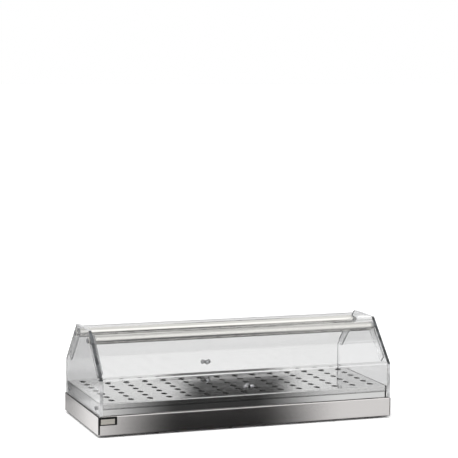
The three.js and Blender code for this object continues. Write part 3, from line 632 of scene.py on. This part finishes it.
def cap_screw(side, y):
    """A domed screw with a six-sided socket.

    A row is a radius, a height and a blend, from a circle (0, millimetres) to the socket's hexagon
    (1, hexagons). Where no height is given, a point lies on the dome's ellipse.
    """
    tip_x, head_x = 397.0, PANEL_OUTER_X + 2 * CLEARANCE + WASHER_THICKNESS
    shank, width, radius, rise, height = 3.0, 4.0, 7.5, 0.3, 4.65
    angle = np.arange(48) / 48 * FULL_TURN
    hexagon = width / 2 / np.cos(angle % (FULL_TURN / 6) - FULL_TURN / 12)
    rows = [[0, tip_x, 0], [shank - 0.3, tip_x, 0], [shank, tip_x + 0.3, 0], [shank, head_x, 0],
            [radius - 0.5, head_x, 0], [radius - 0.1, head_x + 0.1, 0]]
    domed = dome(radius, head_x + rise, height, 10, 3.2)
    rows += np.column_stack([domed, np.zeros(len(domed))]).tolist()
    rows += [[2.9, None, 0.5], [1.12, None, 1], [1.03, None, 1]]
    rim_x, floor_x = head_x + 4.75, head_x + 2.6
    rows += [[1, rim_x, 1], [1, floor_x, 1], [0.9, floor_x, 1], [0, floor_x, 1]]
    loops = []
    for reach, x, blend in rows:
        ring = reach * hexagon if blend == 1 else (1 - blend) * reach + blend * 1.3 * hexagon + 0 * angle
        if x is None:
            x = head_x + rise + height * np.sqrt(1 - (ring / radius) ** 2)
        loops.append(outward(side, y, PIVOT_Z)(ring * np.cos(angle), ring * np.sin(angle), x + 0 * angle))
    points = np.stack(loops)
    return [grid(points, angle * radius, np.arange(len(points))[:, None], wrap=True)]


def spigot(side, y):
    """A turned end fitting: a plug in the tube, a shoulder, and the journal that a flap turns on."""
    plug, plug_x, bore_x, shoulder_x, journal_x, end_x = 10.7, 383.6, 391.1, TUBE_END_X + CLEARANCE, 406.3, 413.1
    profile = [[0, plug_x], [plug, plug_x], [plug, shoulder_x], [TUBE_RADIUS, shoulder_x], [TUBE_RADIUS, journal_x],
               [JOURNAL_RADIUS, journal_x], [JOURNAL_RADIUS, end_x], [PIVOT_BORE, end_x], [PIVOT_BORE, bore_x],
               [0, bore_x]]
    return [turned(softened(profile), outward(side, y, PIVOT_Z), 64)]


def washer(side, y):
    """A flat ring with softened edges."""
    bore, radius, inner_x = PIVOT_BORE, 8.5, PANEL_OUTER_X + CLEARANCE
    outer_x = inner_x + WASHER_THICKNESS
    profile = [[bore, inner_x], [radius, inner_x], [radius, outer_x], [bore, outer_x], [bore, inner_x]]
    return [turned(softened(profile), outward(side, y, PIVOT_Z), 56)]


def tube(y):
    """A thin tube with a bright turned break on its ends."""
    bore = TUBE_RADIUS - TUBE_WALL
    profile = [[bore, -TUBE_END_X], [TUBE_RADIUS, -TUBE_END_X], [TUBE_RADIUS, TUBE_END_X], [bore, TUBE_END_X],
               [bore, -TUBE_END_X]]
    return [turned(softened(profile, 0.35), outward(1, y, PIVOT_Z), 96)]


for side_name, side in SIDES.items():
    make_piece(f"channel_{side_name}", upstand(side), folded_steel, "case", [f"upstand_{side_name}"])
    make_piece(f"clear_panel_{side_name}", side_panel(side), [clear_block, upright_edge, shaded_slope_edge], "case",
               [f"side_panel_{side_name}"])
    for place, sign in (("front", -1), ("rear", 1)):
        make_piece(f"dome_screw_{side_name}_{place}", panel_screw(side, sign * PANEL_SCREW_Y), dark_chrome, "case",
                   [f"panel_screw_{side_name}_{place}"])
        make_piece(f"socket_screw_{place}_{side_name}", cap_screw(side, sign * PIVOT_Y), dark_chrome, "case",
                   [f"cap_screw_{place}_{side_name}"])
        make_piece(f"end_spigot_{place}_{side_name}", spigot(side, sign * PIVOT_Y), tube_steel, "case",
                   [f"tube_spigot_{place}_{side_name}"])
        make_piece(f"nylon_washer_{place}_{side_name}", washer(side, sign * PIVOT_Y), white_nylon, "case",
                   [f"cap_washer_{place}_{side_name}"])

for place, sign in (("front", -1), ("rear", 1)):
    make_piece(f"round_tube_{place}", tube(sign * PIVOT_Y), tube_steel, "case", [f"{place}_tube"])


# ---------------------------------------------------------------- flaps


def flap_sheet(pull_x):
    """The bent clear sheet of the rear flap: a lip, a smooth bend and a slope.

    Its section has two parallel faces, whose bends share one centre, and is carried along X. A
    cell round the hole for the pull's screw joins both faces of the lip. The foot carries a band of
    painted shade in black; the head and the two ends have finishes of their own.
    """
    foot_shade_band, head_band, edge_radius = 1.5, 0.45, 0.4
    slope = (PANEL_TOP_Z - PANEL_BEND_Z) / np.cos(LEAN) - FLAP_TOP_SETBACK
    top = np.array([FACE_Y - slope * np.sin(LEAN), PANEL_BEND_Z + slope * np.cos(LEAN)])
    thick = FLAP_THICKNESS
    top_inner = top - thick * np.array([np.cos(LEAN), np.sin(LEAN)])
    steps, half = 6, 10.0
    border, ring = square_cell(steps)
    marks = np.linspace(-half, half, steps + 1)
    lip = [(FACE_Y, PULL_Z + m) for m in marks]
    lip_inner = [(FACE_Y - thick, PULL_Z - m) for m in marks]
    above_foot = FLAP_FOOT_Z + 2 * foot_shade_band
    corners = [(FACE_Y - thick, above_foot), (FACE_Y - thick, FLAP_FOOT_Z), (FACE_Y, FLAP_FOOT_Z),
               (FACE_Y, above_foot), *lip, (FACE_Y, PANEL_BEND_Z), tuple(top),
               tuple(top_inner), (FACE_Y - thick, PANEL_BEND_Z - thick * np.tan(LEAN / 2)), *lip_inner]
    none = [0] * len(marks)
    radii = [0, edge_radius, edge_radius, 0, *none, PANEL_BEND_RADIUS, edge_radius, edge_radius,
             PANEL_BEND_RADIUS - thick, *none]
    section = rounded_outline(corners, radii, 14)
    ends = edge_levels(-FLAP_HALF_WIDTH, FLAP_HALF_WIDTH, 0.3, support=0.06)
    middle = np.column_stack([np.zeros(len(marks)), marks + pull_x])
    count = len(ends) // 2
    levels = np.vstack([ends[:count], middle, ends[count:]])
    points = upright(*np.moveaxis(carried(section, levels), -1, 0))
    hole = lambda c: (np.abs(c[:, 0] - pull_x) < half) & (np.abs(c[:, 2] - PULL_Z) < half) & (c[:, 1] > FACE_Y - 4)
    # a black band of painted shade along the flap's foot
    foot = lambda c: c[:, 2] < FLAP_FOOT_Z + foot_shade_band
    head = lambda c: (top[0] - c[:, 1]) * np.sin(LEAN) + (c[:, 2] - top[1]) * np.cos(LEAN) > -head_band
    shares = ((lambda c: ~hole(c) & ~foot(c) & ~head(c), 0), (foot, 2), (head, 3))
    patches = shared_grid(points, levels[:, 1:], length_along(section), shares, wrap=True)
    for d, x in (levels[0], levels[-1]):
        patches.append(cap([inset(section, d)], upright, x, material=1))
    rims = (2.9, 0), (2.5, 0), (2.3, 0.2), (2.3, thick - 0.2), (2.5, thick), (2.9, thick)
    loops = [(border * half, 0), *((ring * radius, deep) for radius, deep in rims), (border * half, thick)]
    cell = np.stack([points_of(pull_x + xz[:, 0], FACE_Y - d, PULL_Z + xz[:, 1]) for xz, d in loops])
    patches.append(grid(cell, cell[..., 0], cell[..., 2], wrap=True))
    return patches


def cheek(side):
    """A strip down the inside of a flap's end, round about the pivot, with the eye it turns on."""
    half, length, inner_x, outer_x = 12.6, 115.0, 407.4, 411.4
    down = np.array([np.sin(LEAN), -np.cos(LEAN)])
    out = np.array([np.cos(LEAN), np.sin(LEAN)])
    pivot = np.array([PIVOT_Y, PIVOT_Z])
    corners = [pivot + length * down + half * out, pivot - half * down + half * out,
               pivot - half * down - half * out, pivot + length * down - half * out]
    loops = [rounded_outline(corners, [0.5, half - 0.02, half - 0.02, 5.0], 16, support=0.01),
             circle(EYE_RADIUS, pivot, 40, clockwise=True)]
    levels = edge_levels(inner_x, outer_x, 0.4, support=0.06)
    return plate(loops, levels, lambda a, b, h: upright(a, b, side * h), wall_material=1)


def pull(pull_x):
    """The pull: a bar along X that narrows at the waist, on a flanged post.

    Along the bar the radius is that of a ball at each end, then a cosine ease down to the waist,
    which is level near the middle and carries a black ring of painted shade.
    """
    half, ball, level, ring = PULL_LENGTH / 2, PULL_RADIUS, 3.0, 2.8
    end = half - ball
    rounding = ball * (1 - np.cos(np.linspace(0, np.pi / 2, 12)))
    along = np.concatenate([rounding - half, np.linspace(-end, end, 41)[1:-1], half - rounding[::-1]])
    off = np.abs(along)
    ease = (1 - np.cos(np.pi * np.clip((off - level) / (end - level), 0, 1))) / 2
    radius = np.where(off > end, np.sqrt(np.maximum(ball**2 - (off - end) ** 2, 0)),
                      PULL_WAIST_RADIUS + (ball - PULL_WAIST_RADIUS) * ease)
    bar_y = FACE_Y + PULL_STANDOFF - ball
    points, quads, uv, _ = turned(np.stack([radius, pull_x + along], 1), outward(1, bar_y, PULL_Z), 48)
    # the ring of painted shade at the waist
    waist_shade = np.abs(points[quads].mean(1)[:, 0] - pull_x) < ring
    back, tip, bore, flange, stem = FACE_Y + CLEARANCE, bar_y - 1.0, 2.3, 6.5, 4.0
    post = softened([[bore, back + 7.9], [bore, back], [flange, back], [flange, back + 1.8], [stem, back + 3.6],
                     [stem, tip], [bore, tip]], 0.3)
    profile = np.vstack([[[0, back + 7.9]], post, [[0, post[-1][1]]]])
    return [(points, quads[~waist_shade], uv, 0), (points, quads[waist_shade], uv, 1),
            turned(profile, rearward(pull_x, PULL_Z), 48)]


def pull_screw(pull_x):
    """A low-headed screw from inside the flap into the pull's post."""
    head_y, tip_y, head, shank, socket = FACE_Y - FLAP_THICKNESS - CLEARANCE, FACE_Y + 8, 3.8, 2.0, 1.2
    profile = [[0, head_y - 1.5], [socket, head_y - 1.5], [socket, head_y - 2], [2.9, head_y - 2],
               [head, head_y - 1.1], [head, head_y], [shank, head_y], [shank, tip_y], [0, tip_y]]
    return [turned(softened(profile, 0.15), rearward(pull_x, PULL_Z), 40)]


for place in ("rear", "front"):
    rear = place == "rear"
    whole = (lambda patches: patches) if rear else half_turned
    body = f"{place}_door"
    pull_x = 0.0 if rear else -FRONT_PULL_X
    make_piece(f"bent_flap_{place}", whole(flap_sheet(pull_x)),
               [clear_sheet, polished_edge, black_frame_and_shade, frosted_edge if rear else clear_sheet], body,
               [f"{place}_flap"])
    for side_name, side in SIDES.items():
        make_piece(f"hinge_cheek_{place}_{side_name}", whole(cheek(side if rear else -side)),
                   [clear_sheet, polished_edge], body, [f"{place}_cheek_{side_name}"])
    make_piece(f"waisted_pull_{place}", whole(pull(pull_x)), [pull_chrome, black_frame_and_shade], body,
               [f"{place}_pull"])
    make_piece(f"inner_screw_{place}", whole(pull_screw(pull_x)), zinc_plate, body,
               [f"{place}_pull_screw"])


# ---------------------------------------------------------------- name plate


def oblong(left, bottom, right, top, radius, clockwise=False):
    corners = [(left, bottom), (right, bottom), (right, top), (left, top)]
    return rounded_outline(corners[::-1] if clockwise else corners, [radius] * 4, 6, support=0.1)


front = FACE_Y + CLEARANCE
border, opening = oblong(-424.4, 33.7, -374.4, 56.2, 2.0), oblong(-419.4, 36.2, -380.4, 50.7, 0.3, clockwise=True)
make_piece("plate_frame", plate([border, opening], edge_levels(front, front + 2.4, 0.5), facing), black_frame_and_shade,
           "case", ["name_plate_frame"])
insert = oblong(-419.1, 36.5, -380.7, 50.4, 0.3)
make_piece("plate_insert", plate([insert], edge_levels(front, front + 1.5, 0.15, support=0.1), facing),
           silver_insert, "case", ["name_plate_insert"])


# ---------------------------------------------------------------- what stays from the frame


def dress(node, material):
    """Gives a node of the frame a finish in its own material slots."""
    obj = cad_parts[node]
    for slot in obj.material_slots:
        slot.material = material
    if not obj.material_slots:
        obj.data.materials.append(material)


dress("base_pan", hidden_steel)
for side_name in SIDES:
    for place in ("front", "rear"):
        dress(f"weld_nut_{side_name}_{place}", zinc_plate)


# ---------------------------------------------------------------- camera, floor and light


def aim_camera(place, yaw, pitch, roll, lens):
    """A camera that looks along yaw to the right of +Y and pitch below level, turned by roll."""
    ahead = np.array([np.sin(yaw) * np.cos(pitch), np.cos(yaw) * np.cos(pitch), -np.sin(pitch)])
    level = np.array([np.cos(yaw), -np.sin(yaw), 0.0])
    upward = np.cross(level, ahead)
    across = np.cos(roll) * level + np.sin(roll) * upward
    above = np.cos(roll) * upward - np.sin(roll) * level
    data = bpy.data.cameras.new("camera")
    data.sensor_width, data.lens = 36.0, lens
    data.clip_start, data.clip_end = 0.05, 200.0
    camera = in_scene("camera", data)
    turn = Matrix(np.column_stack([across, above, -ahead]).tolist()).to_4x4()
    camera.matrix_world = Matrix.Translation(Vector(place)) @ turn
    bpy.context.scene.camera = camera


aim_camera((-1.6156, -4.3862, 1.0259), 0.3529, 0.1066, 0.0102, 132.65)


def window(tree, value, low, high, soft):
    """One inside a range of the value and zero outside it, with soft edges."""
    rise = add(tree, "ShaderNodeMapRange", {"Value": value, "From Min": low - soft, "From Max": low + soft},
               interpolation_type="SMOOTHSTEP").outputs[0]
    fall = add(tree, "ShaderNodeMapRange", {"Value": value, "From Min": high + soft, "From Max": high - soft},
               interpolation_type="SMOOTHSTEP").outputs[0]
    return maths(tree, "MULTIPLY", rise, fall)


def scattered(tree):
    """One for light that has met a matt surface on its way to the camera, zero before."""
    return maths(tree, "MINIMUM", add(tree, "ShaderNodeLightPath").outputs["Diffuse Depth"], 1.0)


def mirrored_only(tree):
    """One for light that has only been mirrored on its way to the camera, zero for the rest."""
    mirrored = maths(tree, "MINIMUM", add(tree, "ShaderNodeLightPath").outputs["Glossy Depth"], 1.0)
    return maths(tree, "MULTIPLY", mirrored, maths(tree, "SUBTRACT", 1.0, scattered(tree)))


def shaded(tree, gaps):
    """The product of one minus the depth of each gap, a gap being windows times how dark it is."""
    light = None
    for across, upward, dark in gaps:
        left = maths(tree, "MULTIPLY_ADD", maths(tree, "MULTIPLY", across, upward), -dark, 1.0)
        light = left if light is None else maths(tree, "MULTIPLY", light, left)
    return light


def studio_world():
    """A white room. What metal and clear sheet mirror has the dark gaps between its soft lights.

    Directions are measured in degrees: to the right of the front or of the rear, and upwards.
    A window is a range and its softness, and a gap of negative depth is a brighter place. Light
    from the right of the rear that has been mirrored twice is dimmer, and so is light from low
    down once it has met a matt surface.
    """
    world = bpy.data.worlds.new("studio")
    bpy.context.scene.world = world
    world.use_nodes = True
    tree = world.node_tree
    direction = add(tree, "ShaderNodeTexCoord").outputs["Generated"]
    x, y, z = add(tree, "ShaderNodeSeparateXYZ", {0: direction}).outputs
    degrees = lambda socket: maths(tree, "MULTIPLY", socket, 180 / np.pi)
    front_angle = degrees(maths(tree, "ARCTAN2", x, maths(tree, "MULTIPLY", y, -1.0)))
    upward = degrees(maths(tree, "ARCSINE", z))
    rear_angle = degrees(maths(tree, "ARCTAN2", x, y))
    all_round, down = (-400, 400, 6), -100
    gaps = (
        (front_angle, (12, 95, 6), (down, -30, 22), 0.85),  # under the tubes, their front half
        (rear_angle, (4, 95, 6), (down, -5, 3), 0.93),  # under the tubes, their rear half
        (rear_angle, (-60, -10, 4), (-20, -6, 3), -0.2),  # a glow in the base's left end
        (front_angle, all_round, (down, -45, 15), 0.55),  # straight down
        (front_angle, all_round, (72, 100, 8), 0.3),  # straight up
        (front_angle, (8, 60, 8), (4, 52, 5), -0.4),  # a glow along the tubes' upper halves
    )
    mirrored = shaded(tree, [(window(tree, angle, *across), window(tree, upward, *heights), dark)
                             for angle, across, heights, dark in gaps])
    again = maths(tree, "SUBTRACT", add(tree, "ShaderNodeLightPath").outputs["Glossy Depth"], 1.0)
    again = maths(tree, "MINIMUM", maths(tree, "MAXIMUM", again, 0.0), window(tree, rear_angle, 4, 70, 6))
    mirrored = maths(tree, "MULTIPLY", mirrored, maths(tree, "MULTIPLY_ADD", again, -0.85, 1.0))
    sky_rise, sky_base = 1.4, 0.05
    overhead = maths(tree, "MULTIPLY_ADD", maths(tree, "MAXIMUM", z, 0.0), sky_rise, sky_base)
    falling = add(tree, "ShaderNodeMix", {"Factor": scattered(tree), 2: 1.0, 3: overhead},
                  data_type="FLOAT").outputs[0]
    strength = add(tree, "ShaderNodeMix", {"Factor": mirrored_only(tree), 2: falling, 3: mirrored},
                   data_type="FLOAT")
    background = tree.nodes["Background"]
    background.inputs["Color"].default_value = (1, 1, 1, 1)
    tree.links.new(strength.outputs[0], background.inputs["Strength"])
    world.cycles.sampling_method = "NONE"


studio_world()


def stage_plane(name, corners, material):
    mesh = bpy.data.meshes.new(name)
    mesh.from_pydata(corners, [], [(0, 1, 2, 3)])
    mesh.materials.append(material)
    plane = in_scene(name, mesh)


def studio_card(name, y, gaps):
    """An upright card that only mirrored light meets. It dims what passes by the gaps drawn on it.

    A gap is a range across and its softness, a range upwards and its softness, and how dark.
    """
    material, tree, shader = finish(name, {})
    tree.nodes.remove(shader)
    x, _, z = add(tree, "ShaderNodeSeparateXYZ", {0: add(tree, "ShaderNodeTexCoord").outputs["Object"]}).outputs
    light = shaded(tree, [(window(tree, x, *across), window(tree, z, *upward), dark)
                          for across, upward, dark in gaps])
    passed = add(tree, "ShaderNodeMix", {"Factor": mirrored_only(tree), 2: 1.0, 3: light}, data_type="FLOAT")
    see_through = add(tree, "ShaderNodeBsdfTransparent", {"Color": passed.outputs[0]})
    tree.links.new(see_through.outputs[0], tree.nodes["Material Output"].inputs[0])
    low, high, wide = -1.5, 1.2, 2.5
    stage_plane(name, [(-wide, y, low), (wide, y, low), (wide, y, high), (-wide, y, high)], material)


middle, left = (-0.20, 0.33, 0.15), (-0.80, -0.48, 0.04)
studio_card("front_card", -0.60, [
    (middle, (-0.45, 0.12, 0.05), 0.94),  # the dark middle of the base and of the tray's skirt
    (middle, (-0.45, -0.042, 0.002), 0.6),  # deeper on the base
])
studio_card("rear_card", 0.475, [
    ((0.03, 0.38, 0.06), (0.1785, 0.60, 0.003), 0.935),  # the dark middle of the tray
    ((-0.03, 0.33, 0.06), (0.10, 0.172, 0.002), 0.96),  # the dark band at the tray's rear edge
    (left, (-0.035, 0.35, 0.01), 0.3),  # the left panel's tones, three steps
    (left, (0.015, 0.35, 0.015), 0.5),
    (left, (0.005, 0.055, 0.015), 0.6),
    ((-0.56, -0.40, 0.05), (-0.25, 0.02, 0.02), 0.55),  # part of the base's left end
])


def pale_floor():
    """A wide white floor that takes the shadow. What is mirrored doesn't show it.

    Looked at directly it is a little over white, so that its far parts are as white as the room.
    """
    reach = 40.0
    material, tree, shader = finish("floor", {})
    tree.nodes.remove(shader)
    path = add(tree, "ShaderNodeLightPath")
    extra, albedo = 0.35, 0.88
    tone = maths(tree, "MULTIPLY_ADD", path.outputs["Is Camera Ray"], extra, albedo)
    white = add(tree, "ShaderNodeBsdfDiffuse", {"Color": tone})
    gone = add(tree, "ShaderNodeBsdfTransparent")
    mix = add(tree, "ShaderNodeMixShader", {0: mirrored_only(tree), 1: white.outputs[0], 2: gone.outputs[0]})
    tree.links.new(mix.outputs[0], tree.nodes["Material Output"].inputs[0])
    z = -0.0001
    stage_plane("floor", [(-reach, -reach, z), (reach, -reach, z), (reach, reach, z), (-reach, reach, z)], material)


pale_floor()


def soft_light(name, place, target, size, power):
    data = bpy.data.lights.new(name, "AREA")
    data.shape, data.size, data.energy = "SQUARE", size, power
    light = in_scene(name, data)
    light.location = place
    light.rotation_euler = (Vector(target) - Vector(place)).to_track_quat("-Z", "Y").to_euler()
    light.visible_camera = False


soft_light("overhead", (-0.8, -0.9, 2.4), (0, 0, 0.1), 1.6, 18)

bpy.context.scene.view_settings.view_transform = "Standard"
